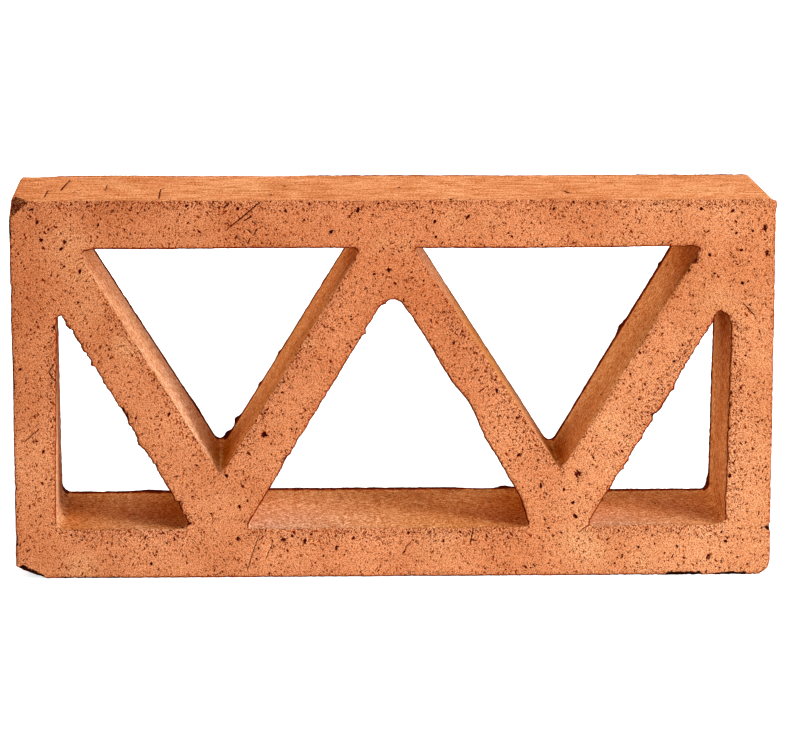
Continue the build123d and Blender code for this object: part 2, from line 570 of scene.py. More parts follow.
# Pits: tries on the front and on the back, smallest and largest radius, the share of tries that a smooth
# stretch keeps, and the wall that one pit has to itself
FRONT_TRIES, BACK_TRIES = 9000, 5000
FACE_PIT = (0.4, 0.85)
WALL_PIT = (0.4, 1.3)
LARGE_PIT_SPREAD = (0.85, 1.15)
SMOOTH_SHARE = 0.3
WALL_PER_PIT = 420

# Scratches and cracks: depth for their width, how dark a scratch is, and how far a crack has opened
SCRATCH_DEPTH, SCRATCH_SHADE = 0.6, 0.8
CRACK_DEPTH, CRACK_BREADTH = 0.4, 1.3


def face_marks(count, seed):
    """The pits of a cut face, closer together where it crumbles."""
    rng = np.random.default_rng(seed)
    marks = Marks()
    if seed == FRONT_SEED:
        for pixels, width in SCRATCHES:
            marks.groove(photo_path(pixels), width, width * SCRATCH_DEPTH, SCRATCH_SHADE, rng)
        for radius, pixels in LARGE_PITS.items():
            spots = photo_path(pixels)
            sizes = [radius * spread for spread in LARGE_PIT_SPREAD]
            marks.pepper(spots, sizes, room_on_face(spots), rng)
    points = rng.uniform(LOW[[0, 2]], HIGH[[0, 2]], (count, 2))
    points = points[rng.random(count) < SMOOTH_SHARE + (1 - SMOOTH_SHARE) * in_bands(points, CRUMBLY)]
    marks.pepper(points, FACE_PIT, room_on_face(points), rng)
    return marks


def crown_spot(pixel):
    """A photo pixel on the crown, as distance along the outline and depth from the front face."""
    place = photo_point(pixel, 2, CROWN)
    rim = RIMS["outline"]
    close, _ = nearest(rim.tree, [(place[0], CROWN)])
    return np.array([rim.along[close[0]] + rim.points[close[0]][0] - place[0], place[1] - FRONT])


def wall_marks(name, seed):
    """The few pits of a wall, in distance along the outline and depth, and the crown's cracks."""
    rng = np.random.default_rng(seed)
    rim = RIMS[name]
    marks = Marks()
    if name == "outline":
        for pixels, width in CRACKS:
            path = np.array([crown_spot(p) for p in pixels])
            marks.groove(path, width * CRACK_BREADTH, width * CRACK_DEPTH, min(width, 1.0), rng)
    points = rng.uniform((0, 0), (rim.length, DEPTH), (round(rim.length * DEPTH / WALL_PER_PIT), 2))
    room = np.minimum(points[:, 1], DEPTH - points[:, 1]) - RIM_ROWS[-1]
    room = np.minimum(room, np.minimum(points[:, 0], rim.length - points[:, 0]))
    marks.pepper(points, WALL_PIT, room, rng)
    return marks


class Skin:
    """The block's mesh while it grows: its points as the CAD has them, and what happens to each."""

    STORES = ("base", "out", "shift", "rim", "from_rim", "sink", "dark")

    def __init__(self):
        self.stores = {name: [] for name in self.STORES}
        self.tiles, self.cut = [], []
        self.count = 0

    def add(self, *values):
        """Adds points, with a value of each store for each point, and gives their numbers."""
        for name, value in zip(self.STORES, values):
            self.stores[name].append(np.asarray(value, float))
        self.count += len(values[0])
        return np.arange(self.count - len(values[0]), self.count)

    def tile(self, triangles, cut):
        self.tiles.append(triangles)
        self.cut.append(np.full(len(triangles), cut))

    def finish(self):
        for name in self.STORES:
            setattr(self, name, np.concatenate(self.stores[name]))
        self.rim = self.rim.astype(int)
        self.faces = np.concatenate(self.tiles)
        self.cut = np.concatenate(self.cut)


def settle(points, side):
    """How far a face's points stand off their true place, as the outlines do, the nearest most."""
    total, weights = np.zeros((len(points), 2)), np.zeros((len(points), 1))
    for rim, shift in zip(RIMS.values(), RIM_SHIFTS[side]):
        close, far = nearest(rim.tree, points)
        weight = 1 / (far[:, None] ** 2 + TOUCH)
        total += shift[close] * weight
        weights += weight
    return total / weights


def chain(flat, axis, value):
    """Edges that link, in order, the points that have that value on that axis."""
    found = np.flatnonzero(np.abs(flat[:, axis] - value) < IN_LINE)
    found = found[np.argsort(flat[found, 1 - axis])].tolist()
    return list(zip(found[:-1], found[1:]))


def clear_of(points, taken, gap):
    """The points that stand at least that gap away from those taken."""
    _, far = nearest(tree_of(taken), points)
    return points[far > gap]


def near_break(place):
    """Whether each 3-D point is close to a broken corner."""
    centres = [np.mean(points, axis=0) for points in BREAKS]
    return np.min([np.linalg.norm(place - c, axis=1) for c in centres], axis=0) < FINE_REACH


def add_rims(skin):
    """The sharp edges of the cut faces: the numbers of the front's points, and of the back's."""
    ids = []
    for side, level in enumerate((FRONT, BACK)):
        place, out = upright(RIM_POINTS, level), upright(RIM_OUT, np.sign(level))
        zero = np.zeros(RIM_TOTAL)
        numbers = np.arange(RIM_TOTAL) + side * RIM_TOTAL
        ids.append(skin.add(place, out, np.concatenate(RIM_SHIFTS[side]), numbers, zero, zero, zero))
    return ids


def add_face(skin, rim_ids, side, step, marks, rng):
    """One cut face: its rims, two rows inside them, the marks, and a loose lattice between them."""
    level, facing = (FRONT, -1.0) if side == 0 else (BACK, 1.0)
    fixed, depth, dark = marks.arrays()
    for inset, keep in zip(RIM_ROWS, (1, 2)):
        row = (RIM_POINTS - RIM_OUT * inset)[::keep]
        row = row[room_on_face(row) > inset * ROW_ROOM]
        fixed = np.concatenate([fixed, clear_of(row, fixed, ROW_GAP)])
    for spacing, near in ((FINE_STEP, True), (step, False)):
        loose = lattice(LOW[[0, 2]], HIGH[[0, 2]], spacing, rng)
        loose = loose[near_break(upright(loose, level)) == near]
        loose = loose[room_on_face(loose) > RIM_ROWS[-1] + spacing * RIM_GAP]
        fixed = np.concatenate([fixed, clear_of(loose, fixed, spacing * FACE_GAP)])
    plain = np.zeros(len(fixed) - len(depth))
    close, far = nearest(RIM_TREE, fixed)
    out = np.tile([0.0, facing, 0.0], (len(fixed), 1))
    ids = skin.add(upright(fixed, level), out, settle(fixed, side), close + side * RIM_TOTAL, far,
                   np.concatenate([depth, plain]), np.concatenate([dark, plain]))
    ids = np.concatenate([rim_ids, ids])
    flat = np.concatenate([RIM_POINTS, fixed])
    edges = []
    for start, end in zip(RIM_STARTS.tolist(), RIM_STARTS[1:].tolist()):
        edges += [(i, i + 1) for i in range(start, end - 1)] + [(end - 1, start)]
    found = triangulate(flat, edges)
    found = ids[found[inside(flat[found].mean(axis=1))]]
    skin.tile(found if side == 0 else found[:, ::-1], True)


def on_wall(rim, points):
    """Where points of a wall, given as it unrolls, are on the block."""
    return upright(rim.at(points[:, 0], rim.points), FRONT + points[:, 1])


def wall_points(rim, marks, rng):
    """A wall's points as it unrolls, u along the outline and v from front to back: its marks, rows along
    rims and corners, and a loose lattice. Then how deep and how dark each point is."""
    rows = RIM_ROWS + tuple(DEPTH - v for v in reversed(RIM_ROWS))
    levels = np.linspace(RIM_ROWS[-1], DEPTH - RIM_ROWS[-1], round(DEPTH / WALL_STEP))[1:-1]
    fixed = [(u, v) for v in rows for u in rim.along]
    fixed += [(rim.along[i], v) for i in rim.bends for v in levels]
    fixed = np.array(fixed)
    seam = np.array([(rim.length, v) for v in (*rows, *levels)])
    spots, depth, dark = marks.arrays()
    _, far = nearest(tree_of(fixed), spots)
    keep = (far > MARK_GAP) & (spots[:, 0] > MARK_GAP) & (spots[:, 0] < rim.length - MARK_GAP)
    held = np.concatenate([spots[keep], fixed])
    for spacing in (FINE_STEP, CROWN_STEP, WALL_STEP):
        loose = lattice((0.0, RIM_ROWS[-1]), (rim.length, DEPTH - RIM_ROWS[-1]), spacing, rng)
        place = on_wall(rim, loose)
        plain = np.where(place[:, 2] > CROWN - TOUCH, CROWN_STEP, WALL_STEP)
        loose = loose[np.where(near_break(place), FINE_STEP, plain) == spacing]
        if len(loose):
            loose = clear_of(loose, np.concatenate([held, seam]), spacing * WALL_GAP)
            held = np.concatenate([held, loose])
    plain = np.zeros(len(held) - keep.sum())
    return held, np.concatenate([depth[keep], plain]), np.concatenate([dark[keep], plain])


def add_wall(skin, name, start, front_ids, back_ids, marks, rng):
    """The wall along one outline, between the numbers of its rims' points on the front and the back."""
    rim = RIMS[name]
    front_shift, back_shift = (shifts[list(RIMS).index(name)] for shifts in RIM_SHIFTS)
    held, depth, dark = wall_points(rim, marks, rng)
    out = rim.at(held[:, 0], rim.out)
    out /= np.linalg.norm(out, axis=1)[:, None]
    share = held[:, 1] / DEPTH
    shift = rim.at(held[:, 0], front_shift) * (1 - share)[:, None]
    shift += rim.at(held[:, 0], back_shift) * share[:, None]
    row = np.clip(np.searchsorted(rim.along, held[:, 0] + TOUCH) - 1, 0, len(rim.along) - 1)
    number = start + row + np.where(share > 0.5, RIM_TOTAL, 0)
    from_rim = np.minimum(held[:, 1], DEPTH - held[:, 1])
    ids = skin.add(on_wall(rim, held), upright(out, 0.0), shift, number, from_rim, depth, dark)

    flat = np.concatenate([[(u, 0.0) for u in rim.along], [(u, DEPTH) for u in rim.along], held])
    ids = np.concatenate([front_ids, back_ids, ids])
    first = np.flatnonzero(flat[:, 0] == 0.0)
    flat = np.concatenate([flat, np.stack([np.full(len(first), rim.length), flat[first, 1]], axis=1)])
    ids = np.concatenate([ids, ids[first]])
    edges = chain(flat, 1, 0.0) + chain(flat, 1, DEPTH) + chain(flat, 0, rim.length)
    for i in rim.bends:
        edges += chain(flat, 0, rim.along[i])
    skin.tile(ids[triangulate(flat, edges)][:, ::-1], False)


# Seeds of all that is random
FRONT_SEED, BACK_SEED, WALL_SEED = 11, 12, 30
SKIN_SEED, RIM_SEED = 7, 21


def grow_skin():
    """The block's whole surface, as the CAD has it, with points where the relief needs them."""
    skin = Skin()
    rng = np.random.default_rng(SKIN_SEED)
    rim_ids = add_rims(skin)
    add_face(skin, rim_ids[0], 0, FRONT_STEP, face_marks(FRONT_TRIES, FRONT_SEED), rng)
    add_face(skin, rim_ids[1], 1, BACK_STEP, face_marks(BACK_TRIES, BACK_SEED), rng)
    for i, (name, start, end) in enumerate(zip(RIMS, RIM_STARTS, RIM_STARTS[1:])):
        marks = wall_marks(name, WALL_SEED + i)
        add_wall(skin, name, start, rim_ids[0][start:end], rim_ids[1][start:end], marks, rng)
    skin.finish()
    return skin


# Noise as layers of height, size and seed: a cut face, its crumbly places, the walls, where it is drawn
# out through the depth, the rims and the flats of the broken corners. Faces sink by the headroom, so
# that nothing stands out past the CAD model.
HEADROOM = 0.15
CUT_RELIEF = ((0.2, 26.0, 0.0), (0.12, 4.4, 3.0))
CRUMBLE_RELIEF, CRUMBLE_LOSS = ((0.35, 3.0, 8.0),), 0.0875
WALL_RELIEF, WALL_DRAW = ((0.2, 34.0, 1.0),), (1, 0.35, 1)
RIM_RELIEF = ((0.9, 1.3, 5.0), (0.7, 3.4, 9.0), (0.5, 11.0, 2.0))
BREAK_RELIEF = ((0.8, 3.0, 4.0), (0.4, 1.4, 6.0))

# Rims: how close to its path a ragged one is, the nicks, how far in a rim's shape reaches, and how far
# the arris sinks into the cut face
RAGGED_REACH = 5.0
RIM_NICKS = 420
NICK_REACH = (0.5, 1.4)
NICK_HEIGHT = (-1.3, 0.6)
RIM_REACH = 2.2
ARRIS_SINK = 0.25

# Chips, where a rim stands back far enough: their start, reach, depth and darkness
CHIP_START, CHIP_REACH = 0.3, 1.2
CHIP_SINK, CHIP_SHADE, MOST_CHIP_SHADE = 0.7, 1.3, 0.9

# Flats of the broken corners: depth, how soon it is reached, how soon they are dark, and darkness
BREAK_SINK, BREAK_FULL = 0.5, 1.0
BREAK_FADE, BREAK_SHADE = 0.8, 0.42

# Painted shade along the arrises, darkest where they face down: how wide it is, and how wide on the
# crown's back rim and on an opening's slanted and level back rims, then how strong where they face
# sideways. What faces a way by more than STEEP of its length counts as facing it.
EDGE_REACH, CROWN_EDGE_REACH = 0.75, 3.5
SLANT_EDGE_REACH, LEVEL_EDGE_REACH = 9.5, 6.5
BESIDE_SHADE = 0.8
STEEP = 0.3

# How far in the rims' own grain is painted, and the angle from which an edge is sharp
RIM_PAINT = 1.8
SHARP_ANGLE = math.radians(50)


def rim_offsets(rng):
    """How far each rim point stands out into the air, or back into the clay where it is negative."""
    offsets = []
    for side, (level, burrs) in enumerate(((FRONT, FRONT_BURRS), (BACK, BACK_BURRS))):
        true = RIM_POINTS + np.concatenate(RIM_SHIFTS[side])
        rough = np.full(RIM_TOTAL, RIM_ROUGH)
        if side == 0:
            for pixels, amount in RAGGED:
                near = from_path(true, photo_path(pixels)) < RAGGED_REACH
                rough[near] = np.maximum(rough[near], amount)
        offset = rough * layered(upright(RIM_POINTS, level), RIM_RELIEF)
        for _ in range(RIM_NICKS):
            at = RIM_POINTS[rng.integers(RIM_TOTAL)]
            reach, height = rng.uniform(*NICK_REACH), rng.uniform(*NICK_HEIGHT)
            offset += height * rough * fade(np.linalg.norm(RIM_POINTS - at, axis=1), reach)
        for pixel, reach, height in burrs:
            at = np.argmin(np.linalg.norm(true - photo_path([pixel], level), axis=1))
            offset += height * fade(np.linalg.norm(true - true[at], axis=1), reach)
        offsets.append(offset)
    return np.concatenate(offsets)


def break_corners(points, dark):
    """Flattens what lies beyond each broken corner's plane onto it, roughly, and darkens it."""
    middle = (LOW + HIGH) / 2
    for a, b, c in np.array(BREAKS):
        normal = np.cross(b - a, c - a)
        normal /= np.linalg.norm(normal)
        normal *= np.sign((a - middle) @ normal)
        beyond = (points - a) @ normal
        lost = beyond > 0
        sink = BREAK_SINK + layered(points[lost], BREAK_RELIEF)
        points[lost] -= normal * (beyond[lost] + np.minimum(beyond[lost], BREAK_FULL) * sink)[:, None]
        dark[lost] = np.maximum(dark[lost], np.clip(beyond[lost] / BREAK_FADE, 0, BREAK_SHADE))


def shape(skin):
    """Moves the skin's points from the plain CAD form to the worn block. Darkness grows in chips."""
    base = skin.base
    on_cut = skin.out[:, 1] != 0
    on_rim = skin.from_rim == 0
    flat, behind = base[:, [0, 2]], base[:, 1] - FRONT
    loose = np.where(on_cut, in_bands(flat, CRUMBLY), in_bands(flat, TORN_WALLS, behind))
    offset = rim_offsets(np.random.default_rng(RIM_SEED))[skin.rim]
    chip = np.maximum(-offset - CHIP_START, 0) * fade(skin.from_rim, CHIP_REACH, 1)
    swell = layered(base, CUT_RELIEF)
    swell += loose * on_cut * (layered(base, CRUMBLE_RELIEF) - CRUMBLE_LOSS)
    cut_lift = np.minimum(swell, HEADROOM) - HEADROOM - skin.sink - CHIP_SINK * chip - ARRIS_SINK * on_rim
    swell = layered(base * WALL_DRAW, WALL_RELIEF)
    wall_lift = np.where(on_outside(skin), np.minimum(swell, HEADROOM) - HEADROOM, swell)
    wall_lift = wall_lift - np.where(on_rim, 0, skin.sink)
    dark = np.maximum(skin.dark, np.clip(chip * CHIP_SHADE, 0, MOST_CHIP_SHADE))
    rim_way = np.tile(RIM_OUT, (2, 1))[skin.rim]
    moved = base + skin.out * np.stack([wall_lift, cut_lift, wall_lift], axis=1)
    moved[:, [0, 2]] += rim_way * (offset * fade(skin.from_rim, RIM_REACH, 1))[:, None] + skin.shift
    break_corners(moved, dark)
    return np.clip(moved, LOW, HIGH), dark, loose


def on_outside(skin):
    """Whether each point belongs to the block's outside, and not to an opening."""
    return skin.rim % RIM_TOTAL < RIM_STARTS[1]


def spot_field(points, spots):
    """Adds up spots of colour, each given as a place, a reach and a strength."""
    field = np.zeros(len(points))
    for place, reach, strength in spots:
        field += strength * fade(np.linalg.norm(points - place, axis=1), reach)
    return np.clip(field, -1, 1)


def seen_at(spots, axis=1, level=FRONT):
    """Spots given by photo pixel, with their places on the front face or on another plane."""
    return [(photo_point(pixel, axis, level), reach, strength) for pixel, reach, strength in spots]


def drawn_field(points, spots):
    """Spots given by photo pixel on the block's middle plane, drawn out through the depth."""
    spots = [(place * SHADE_DRAW, reach, strength) for place, reach, strength in seen_at(spots, 1, 0.0)]
    return spot_field(points * SHADE_DRAW, spots)


def painted_shade_field(points, out):
    """The walls' painted shade in corners and recesses, less a paler seam along the bottom of each V."""
    seams = np.where(out[:, 2] > SEAM_FACING, drawn_field(points, SEAMS), 0.0)
    return np.clip(drawn_field(points, SHADE_SPOTS) - seams, 0, 1)


def arris_shade_field(skin):
    """Where painted shade lies along the arrises: on front rims that face down or sideways, and on all
    the back ones.
    """
    way = np.tile(RIM_OUT, (2, 1))[skin.rim]
    facing = np.where(way[:, 1] < -STEEP, 1.0, np.where(way[:, 1] < STEEP, BESIDE_SHADE, 0.0))
    arris = facing * fade(skin.from_rim, EDGE_REACH)
    at_back = ((skin.out[:, 1] == 0) | (skin.from_rim == 0)) & (skin.rim >= RIM_TOTAL)
    reach = np.where(np.abs(way[:, 0]) > STEEP, SLANT_EDGE_REACH, LEVEL_EDGE_REACH)
    outside_reach = np.where(way[:, 1] > STEEP, CROWN_EDGE_REACH, EDGE_REACH)
    reach = np.where(on_outside(skin), outside_reach, reach)
    return np.maximum(arris, np.where(at_back, fade(skin.from_rim, reach, 4), 0.0))


def build_block():
    """The block's mesh, with what its materials need to know at each point."""
    skin = grow_skin()
    points, dark, loose = shape(skin)
    front_fade = fade(points[:, 1] - FRONT, SHADE_LINE_DEPTH)
    used = np.unique(skin.faces)
    order = np.full(len(points), -1)
    order[used] = np.arange(len(used))
    faces = order[skin.faces]
    mesh = bpy.data.meshes.new("clay_block")
    mesh.from_pydata((points[used] * MM).tolist(), [], faces.tolist())
    fields = {
        "hollow": dark,
        "crumble": loose,
        "tint": spot_field(points, seen_at(TINTS) + seen_at(STAINS, 2, CROWN)),
        # Painted shade: dark lines along the front's edges and a shadow along its foot
        "painted_lines": front_fade * in_bands(points[:, [0, 2]], SHADE_LINES),
        # Painted shade in the openings' corners and recesses
        "painted_shade": painted_shade_field(points, skin.out),
        # Painted light on the floors and walls that the lamps light, and on what faces right
        "painted_light": np.clip(LIT_FACING_RIGHT * skin.out[:, 0] + spot_field(points, LIT_SPOTS), 0, 1),
        # Painted shade along the arrises
        "edge": arris_shade_field(skin),
        "outside": on_outside(skin),
        "rim": fade(skin.from_rim, RIM_PAINT),
    }
    for name, values in fields.items():
        field = mesh.attributes.new(name, "FLOAT", "POINT")
        field.data.foreach_set("value", values[used].astype(np.float32))
    mesh.polygons.foreach_set("material_index", np.where(skin.cut, 0, 1).astype(np.int32))
    mesh.polygons.foreach_set("use_smooth", np.ones(len(faces), bool))
    mesh.set_sharp_from_angle(angle=SHARP_ANGLE)
    block = bpy.data.objects.new("clay_block", mesh)
    bpy.context.scene.collection.objects.link(block)
    return block


def srgb(code):
    """A colour written as in a picture, as the shaders take it."""
    parts = [int(code[i:i + 2], 16) / 255 for i in (0, 2, 4)]
    return tuple(p / 12.92 if p <= 0.04045 else ((p + 0.055) / 1.055) ** 2.4 for p in parts) + (1.0,)


class Nodes:
    """The shader nodes of a material or a world, made a node at a time."""

    def __init__(self, owner):
        owner.use_nodes = True
        self.owner = owner
        self.tree = owner.node_tree
        self.tree.nodes.clear()

    def node(self, kind, inputs=None, **settings):
        made = self.tree.nodes.new("ShaderNode" + kind)
        for key, value in settings.items():
            setattr(made, key, value)
        for key, value in (inputs or {}).items():
            if isinstance(value, bpy.types.NodeSocket):
                self.tree.links.new(value, made.inputs[key])
            else:
                made.inputs[key].default_value = value
        return made

    def end(self, kind, shader):
        """The output that shows a shader. Hands back the material or world."""
        self.node(kind, {"Surface": shader.outputs[0]})
        return self.owner

    def math(self, how, a, b=0.5, c=0.0):
        return self.node("Math", {0: a, 1: b, 2: c}, operation=how).outputs[0]

    def joined(self, how, first, *others):
        """Several values taken together, two at a time."""
        for other in others:
            first = self.math(how, first, other)
        return first

    def field(self, name):
        """What the mesh holds for each point under that name."""
        return self.node("Attribute", attribute_name=name).outputs["Fac"]

    def noise(self, place, size, detail=2.0, roughness=0.5, output="Fac"):
        """Noise of 0 to 1 with grains about size millimetres across."""
        inputs = {"Vector": place, "Scale": 1 / (size * MM), "Detail": detail, "Roughness": roughness}
        return self.node("TexNoise", inputs).outputs[output]

    def ramp(self, value, low, high, to_low=0.0, to_high=1.0, kind="LINEAR"):
        """A value's stretch from low to high, laid over to_low to to_high."""
        inputs = {"Value": value, "From Min": low, "From Max": high, "To Min": to_low, "To Max": to_high}
        return self.node("MapRange", inputs, interpolation_type=kind).outputs["Result"]

    def step(self, value, low, high, to_low=0.0, to_high=1.0):
        """The same with soft ends."""
        return self.ramp(value, low, high, to_low, to_high, "SMOOTHSTEP")

    def swing(self, noise, amount, spread):
        """Noise as minus to plus an amount, which it reaches that far from its middle."""
        return self.ramp(noise, 0.5 - spread, 0.5 + spread, -amount, amount)

    def mix(self, share, a, b, blend="MIX"):
        """Two colours, the second by its share."""
        inputs = {0: share, 6: a, 7: b}
        return self.node("Mix", inputs, data_type="RGBA", blend_type=blend).outputs[2]

    def drawn(self, place, turn, length):
        """Places for a texture drawn out along a direction."""
        inputs = {"Vector": place, "Rotation": (0.0, 0.0, turn), "Scale": (length, 1.0, 1.0)}
        return self.node("Mapping", inputs, vector_type="TEXTURE").outputs[0]

    def bent(self, place, size, amount):
        """Places pushed about by noise, so that round spots on them grow ragged."""
        push = self.noise(place, size, 1.0, output="Color")
        push = self.node("VectorMath", {0: push, 1: NOISE_MIDDLE}, operation="SUBTRACT").outputs[0]
        push = self.node("VectorMath", {0: push, "Scale": amount * MM}, operation="SCALE").outputs[0]
        return self.node("VectorMath", {0: place, 1: push}, operation="ADD").outputs[0]

    def pits(self, place, size, share, widest, flat=True):
        """Spots of a Voronoi pattern, darkest in the middle: one in a share of its cells of that size."""
        inputs = {"Vector": place, "Scale": 1 / (size * MM), "Randomness": 1.0}
        cells = self.node("TexVoronoi", inputs, voronoi_dimensions="2D" if flat else "3D")
        chances = self.node("SeparateColor", {"Color": cells.outputs["Color"]}).outputs
        radius = self.ramp(chances[0], 1.0 - share, 1.0, 0.0, widest / size)
        outward = self.math("DIVIDE", cells.outputs["Distance"], self.math("ADD", radius, LEAST_RADIUS))
        depth = self.step(chances[1], 0.0, 1.0, *PIT_DEPTHS)
        return self.math("MULTIPLY", self.step(outward, *PIT_SIDE), depth)


# Colours of the clay, the dark of the painted shade lines, and casts that multiply them: on the openings'
# walls, a shaded copy and a lit copy where painted light lies, the cast of painted shade, on the outside,
# and painted light that makes the cut faces brighter low down and to the right, with the metres along Z
# and X between which it comes in
CLAY = srgb("DF8755")
CLAY_RED = srgb("CB7040")
CLAY_PALE = srgb("EDA56C")
SHADE_LINE_DARK = srgb("2A0E08")
# Walls in the openings: a shaded copy, a lit copy where painted light lies, and the cast of painted shade
WALL_SHADED = (1.07, 1.36, 1.15, 1.0)
WALL_LIT = (1.14, 2.0, 3.1, 1.0)
SHADE_CAST = (0.68, 0.42, 0.06, 1.0)
OUTSIDE_CAST = (1.03, 1.16, 1.15, 1.0)
# Painted light: the cut faces brighter low down and to the right
LOW_LIGHT_CAST, LOW_LIGHT_SPAN = (1.13, 1.25, 1.32, 1.0), (0.15, 0.02)
RIGHT_LIGHT_CAST, RIGHT_LIGHT_SPAN = (0.99, 1.1, 1.15, 1.0), (0.0, 0.19)

# How dark clay turns: powers of its tone for green and blue, the least that is left of them, the least
# tone, the tone of a hole, partly painted shade and partly the clay's dark grains, and the brightest tone
# of a cut face
GREEN_FALL, BLUE_FALL = 2.2, 3.3
LEAST_GREEN, LEAST_BLUE = 0.035, 0.045
LEAST_TONE, HOLE_TONE, BRIGHTEST = 0.2, 0.13, 1.3

# Noises on all the clay, as size, detail and roughness. A span says where a noise turns on, then what it
# is laid over. A swing says how far a noise moves a value either way, then how soon.
NOISE_MIDDLE = (0.5, 0.5, 0.5)
MOTTLE = (4.5, 3.0, 0.6)
CLOUDS, CLOUD_SPAN = (45.0, 3.0), (0.35, 0.7, 0.0, 0.7)
PALE_SHARE, RED_SHARE = 0.5, 0.75
# Painted shade along the arrises: its patches and where it turns on
EDGE_PATCHES, EDGE_PATCH_SPAN, EDGE_SPAN = (3.0, 2.0), (0.25, 0.55, 0.6, 1.0), (0.15, 0.75)
HOLLOW_GRIT, HOLLOW_SWING, HOLLOW_SPAN = (0.7, 1.0), (0.4, 0.25), (0.2, 0.5)
# Painted shade lines: how far the mottle moves them, and where they turn on
SHADE_LINE_SWING, SHADE_LINE_SPAN = (0.3, 0.2), (0.35, 0.55)

# Cut faces: grit, grain and the wire's strokes, which run two ways in patches
GRIT, GRIT_SWING = (0.42, 1.0, 0.5), (0.55, 0.25)
GRAIN, GRAIN_SWING = (1.1, 2.0, 0.6), (0.08, 0.25)
STROKES, STROKE_SWING = (0.7, 2.0, 0.6), (-0.18, 0.2)
STROKE_TURNS, STROKE_DRAW = (math.radians(64), math.radians(-52)), 2.4
STROKE_PATCHES, STROKE_PATCH_SPAN = (9.0, 1.0), (0.46, 0.54)
FACE_MOTTLE_SWING = (0.03, 0.2)

# Painted pits, dark partly as painted shade and partly as the clay's own dark grains: cell size, share of
# the cells with a pit and widest radius, then the size and amount by which they are bent, and how far
# they are drawn out
FINE_PITS, FINE_BEND = (1.6, 0.45, 0.5), (0.8, 0.9)
SLANTED_PITS, SLANTED_DRAW = (2.4, 0.4, 0.5), 2.2
COARSE_PITS, COARSE_BEND, COARSE_DRAW = (3.0, 0.4, 0.7), (1.0, 1.4), 2.0

# Clusters of pits, and where strokes turn into slits and grain into gaps beside the rims
CLUSTERS, COARSE_SPAN, FINE_SPAN = (12.0, 2.0), (0.45, 0.55), (0.4, 0.5, 0.3, 1.0)
SLIT_SPAN, RIM_SPAN = (0.62, 0.68, 0.0, 0.85), (0.46, 0.36)

# Every pit: the range of depths, where its side begins and ends for its radius, and the least radius
PIT_DEPTHS, PIT_SIDE, LEAST_RADIUS = (0.5, 1.0), (1.0, 0.6), 0.0001

# Crumbly places: the contrast that the tone grows to, and what they add to clusters of pits and to slits
CRUMBLE_CONTRAST, CRUMBLE_CLUSTERS, CRUMBLE_SLITS = 1.4, 0.3, 0.05

# Skin: its middle tone, its grit, its grain on the walls and in streaks on the outside, pits and specks
SKIN_TONE = 0.975
SKIN_GRIT, SKIN_GRIT_SWING, RAGGED_SPAN = (0.9, 2.0, 0.6), (0.4, 0.2), (0.5, 0.42)
WALL_GRAIN, SKIN_GRAIN_SWING = (2.4, 3.0, 0.7), (0.225, 0.14)
STREAKS, STREAK_DRAW = (1.4, 3.0, 0.6), 9.0
SKIN_MOTTLE_SWING = (0.08, 0.2)
SKIN_PITS, SKIN_BEND = (3.4, 0.35, 0.6), (1.0, 0.8)
SKIN_CLUSTERS, SKIN_CLUSTER_SPAN = (30.0, 2.0), (0.45, 0.65)
SPECKS, SPECK_SPAN = (1.5, 2.0, 0.6), (0.62, 0.7, 0.0, 0.6)

# Bump: shares of grain and grit in the height on a cut face and on the skin, share of the pits, distance
FACE_HEIGHTS, SKIN_HEIGHTS, PIT_HEIGHT = (0.6, 0.3), (0.25, 0.15), 0.5
BUMP = 0.8 * MM
ROUGHNESS = 0.95


def bumps(m, grain, grit, shares):
    """The height for the bump."""
    return m.math("MULTIPLY_ADD", grain, shares[0], m.math("MULTIPLY", grit, shares[1]))


def torn(m, place, split, mottle):
    """The face that the wire cut: its tone, its pits, and its height for the bump."""
    across = m.math("ADD", split.outputs["X"], m.math("SIGN", split.outputs["Y"]))
    flat = m.node("CombineXYZ", {"X": across, "Y": split.outputs["Z"]}).outputs[0]
    loose = m.field("crumble")
    grit, grain = m.noise(flat, *GRIT), m.noise(flat, *GRAIN)
    strokes = [m.noise(m.drawn(flat, turn, STROKE_DRAW), *STROKES) for turn in STROKE_TURNS]
    strokes = m.mix(m.step(m.noise(place, *STROKE_PATCHES), *STROKE_PATCH_SPAN), *strokes)
    swings = [m.swing(grain, *GRAIN_SWING), m.swing(grit, *GRIT_SWING)]
    swings += [m.swing(strokes, *STROKE_SWING), m.swing(mottle, *FACE_MOTTLE_SWING)]
    contrast = m.ramp(loose, 0.0, 1.0, 1.0, CRUMBLE_CONTRAST)
    tone = m.math("MULTIPLY_ADD", m.joined("ADD", *swings), contrast, 1.0)
    ragged = m.bent(flat, *FINE_BEND)
    slanted = m.pits(m.drawn(ragged, STROKE_TURNS[0], SLANTED_DRAW), *SLANTED_PITS)
    fine = m.math("MAXIMUM", m.pits(ragged, *FINE_PITS), slanted)
    coarse = m.pits(m.drawn(m.bent(flat, *COARSE_BEND), STROKE_TURNS[1], COARSE_DRAW), *COARSE_PITS)
    clusters = m.math("MULTIPLY_ADD", loose, CRUMBLE_CLUSTERS, m.noise(place, *CLUSTERS))
    fine = m.math("MULTIPLY", fine, m.step(clusters, *FINE_SPAN))
    coarse = m.math("MULTIPLY", coarse, m.step(clusters, *COARSE_SPAN))
    slits = m.step(m.math("MULTIPLY_ADD", loose, CRUMBLE_SLITS, strokes), *SLIT_SPAN)
    rim = m.math("MULTIPLY", m.field("rim"), m.step(grain, *RIM_SPAN))
    holes = m.joined("MAXIMUM", fine, slits, coarse, rim)
    return m.math("MINIMUM", tone, BRIGHTEST), holes, bumps(m, grain, grit, FACE_HEIGHTS)


